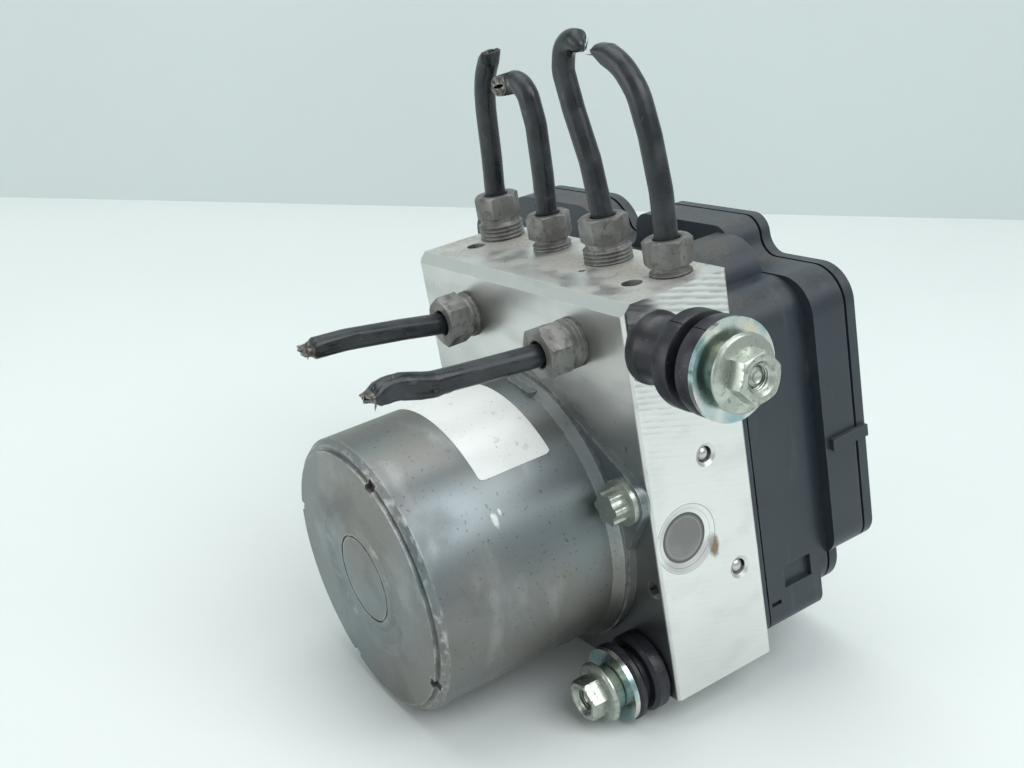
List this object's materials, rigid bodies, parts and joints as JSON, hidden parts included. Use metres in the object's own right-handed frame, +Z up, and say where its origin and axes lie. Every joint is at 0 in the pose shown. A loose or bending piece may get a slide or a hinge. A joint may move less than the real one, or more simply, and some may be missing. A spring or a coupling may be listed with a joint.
{
  "type": "abs brake module",
  "caption": "Hydraulic control unit of anti-lock brakes: metal block with pump motor, union nuts and cut pipes, plastic controller behind, rubber mounting bushes.",
  "frame": {"origin": "centre of the hydraulic block's bottom face", "axes": "+Z up through the block to its top brake ports, the pump motor stands out towards -Y, the controller is on +Y, the longer rubber bush is on +X"},
  "size_m": [0.1846, 0.1198, 0.1597],
  "materials": {
    "block_aluminium": "machined, dulled and dusty",
    "can_zinc": "zinc plated drawn sheet, satin",
    "ferrite": "ground",
    "bearing_steel": "ground",
    "core_steel": "stamped sheets",
    "copper": "enamelled wire and copper bars",
    "carbon": "pressed carbon",
    "inner_plastic": "moulded",
    "bolt_zinc": "zinc plated",
    "plug_steel": "turned",
    "spring_steel": "drawn wire",
    "piston_alloy": "anodised",
    "valve_steel": "turned",
    "coil_case": "lacquered",
    "housing_plastic": "moulded, dusty",
    "seal_rubber": "moulded",
    "board": "soldered board",
    "pin_tin": "tinned",
    "nut_zinc": "zinc plated, tarnished",
    "pipe_coating": "black coated steel",
    "bush_rubber": "moulded, worn",
    "washer_zinc": "yellow zinc plated"
  },
  "bodies": {
    "unit": {"hydraulic_block": "block_aluminium", "motor_can": "can_zinc", "field_magnets": "ferrite", "rear_bearing": "bearing_steel", "front_bearing": "bearing_steel", "brush_plate": "inner_plastic", "carbon_brushes": "carbon", "motor_bolts": "bolt_zinc", "ball_plugs": "bearing_steel", "inlet_valves": "valve_steel", "outlet_valves": "valve_steel", "solenoid_coils": "coil_case", "ecu_housing": "housing_plastic", "ecu_cover": "housing_plastic", "ecu_seal": "seal_rubber", "block_seal": "seal_rubber", "circuit_board": "board", "connector_pins": "pin_tin", "coil_pins": "pin_tin", "ecu_screws": "bolt_zinc", "union_nuts_large": "nut_zinc", "union_nuts_small": "nut_zinc", "upper_bush": "bush_rubber", "lower_bush": "bush_rubber", "bush_washers": "washer_zinc", "bush_nuts": "washer_zinc", "bush_studs": "bolt_zinc", "pump_cylinder_right": "valve_steel", "pump_spring_right": "spring_steel", "pump_plug_right": "plug_steel", "accumulator_spring_right": "spring_steel", "accumulator_cap_right": "plug_steel", "pump_cylinder_left": "valve_steel", "pump_spring_left": "spring_steel", "pump_plug_left": "plug_steel", "accumulator_spring_left": "spring_steel", "accumulator_cap_left": "plug_steel", "pipe_1": "pipe_coating", "pipe_2": "pipe_coating", "pipe_3": "pipe_coating", "pipe_4": "pipe_coating", "pipe_front_left": "pipe_coating", "pipe_front_right": "pipe_coating"},
    "rotor": {"motor_shaft": "bearing_steel", "armature_core": "core_steel", "armature_winding": "copper", "commutator": "copper", "eccentric_bearing": "bearing_steel"},
    "pump_piston_right": {"pump_piston_right": "bearing_steel"},
    "pump_piston_left": {"pump_piston_left": "bearing_steel"},
    "accumulator_piston_right": {"accumulator_piston_right": "piston_alloy"},
    "accumulator_piston_left": {"accumulator_piston_left": "piston_alloy"},
    "inlet_plunger_1": {"inlet_plunger_1": "valve_steel"},
    "inlet_plunger_2": {"inlet_plunger_2": "valve_steel"},
    "inlet_plunger_3": {"inlet_plunger_3": "valve_steel"},
    "inlet_plunger_4": {"inlet_plunger_4": "valve_steel"},
    "outlet_plunger_1": {"outlet_plunger_1": "valve_steel"},
    "outlet_plunger_2": {"outlet_plunger_2": "valve_steel"},
    "outlet_plunger_3": {"outlet_plunger_3": "valve_steel"},
    "outlet_plunger_4": {"outlet_plunger_4": "valve_steel"}
  },
  "joints": [
    {"name": "rotor_spin", "type": "hinge", "parent": "unit", "child": "rotor", "pos_m": [0, -0.03, 0.0405], "axis": [0, -1, 0], "continuous": true},
    {"name": "pump_piston_right_slide", "type": "slide", "parent": "unit", "child": "pump_piston_right", "axis": [-1, 0, 0], "range_m": [0, 0.0009]},
    {"name": "pump_piston_left_slide", "type": "slide", "parent": "unit", "child": "pump_piston_left", "axis": [1, 0, 0], "range_m": [0, 0.0009]},
    {"name": "accumulator_piston_right_slide", "type": "slide", "parent": "unit", "child": "accumulator_piston_right", "axis": [0, 0, -1], "range_m": [0, 0.008], "stiffness_N_per_m": 400, "deforming": ["accumulator_spring_right"]},
    {"name": "accumulator_piston_left_slide", "type": "slide", "parent": "unit", "child": "accumulator_piston_left", "axis": [0, 0, -1], "range_m": [0, 0.008], "stiffness_N_per_m": 400, "deforming": ["accumulator_spring_left"]},
    {"name": "inlet_plunger_1_slide", "type": "slide", "parent": "unit", "child": "inlet_plunger_1", "axis": [0, -1, 0], "range_m": [0, 0.0004], "stiffness_N_per_m": 600},
    {"name": "inlet_plunger_2_slide", "type": "slide", "parent": "unit", "child": "inlet_plunger_2", "axis": [0, -1, 0], "range_m": [0, 0.0004], "stiffness_N_per_m": 600},
    {"name": "inlet_plunger_3_slide", "type": "slide", "parent": "unit", "child": "inlet_plunger_3", "axis": [0, -1, 0], "range_m": [0, 0.0004], "stiffness_N_per_m": 600},
    {"name": "inlet_plunger_4_slide", "type": "slide", "parent": "unit", "child": "inlet_plunger_4", "axis": [0, -1, 0], "range_m": [0, 0.0004], "stiffness_N_per_m": 600},
    {"name": "outlet_plunger_1_slide", "type": "slide", "parent": "unit", "child": "outlet_plunger_1", "axis": [0, -1, 0], "range_m": [0, 0.0004], "stiffness_N_per_m": 600},
    {"name": "outlet_plunger_2_slide", "type": "slide", "parent": "unit", "child": "outlet_plunger_2", "axis": [0, -1, 0], "range_m": [0, 0.0004], "stiffness_N_per_m": 600},
    {"name": "outlet_plunger_3_slide", "type": "slide", "parent": "unit", "child": "outlet_plunger_3", "axis": [0, -1, 0], "range_m": [0, 0.0004], "stiffness_N_per_m": 600},
    {"name": "outlet_plunger_4_slide", "type": "slide", "parent": "unit", "child": "outlet_plunger_4", "axis": [0, -1, 0], "range_m": [0, 0.0004], "stiffness_N_per_m": 600}
  ]
}
